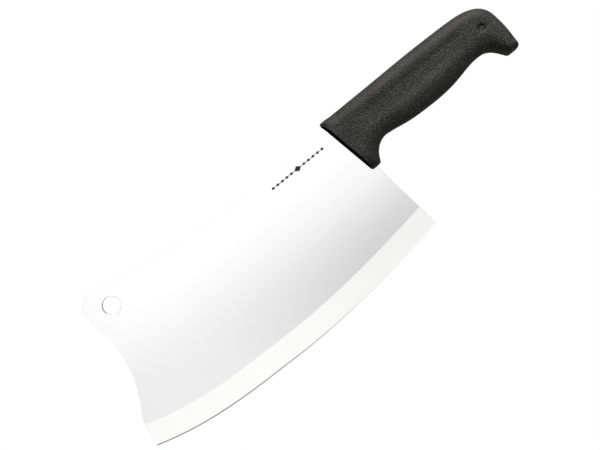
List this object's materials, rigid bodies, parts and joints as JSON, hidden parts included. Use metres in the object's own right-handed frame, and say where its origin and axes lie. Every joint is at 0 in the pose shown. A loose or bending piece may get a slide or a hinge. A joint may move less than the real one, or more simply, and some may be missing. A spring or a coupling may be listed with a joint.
{
  "type": "meat cleaver",
  "caption": "Butcher's cleaver with a broad steel blade swept up to a pierced tip, and a moulded pebbled grip with a front guard and a hooked butt.",
  "frame": {"origin": "under the middle of the cleaver's box, on the plane that the handle's lower side rests on", "axes": "+X from the toe towards the handle's butt, +Y from the cutting edge towards the spine, +Z square to the blade's flat, up as the cleaver lies on its side"},
  "size_m": [0.3668, 0.1242, 0.023],
  "materials": {
    "steel": "polished",
    "core_plastic": "satin",
    "soft_grip": "matte"
  },
  "bodies": {
    "root": {"blade": "steel", "handle_core": "core_plastic", "handle_grip": "soft_grip"}
  },
  "joints": []
}
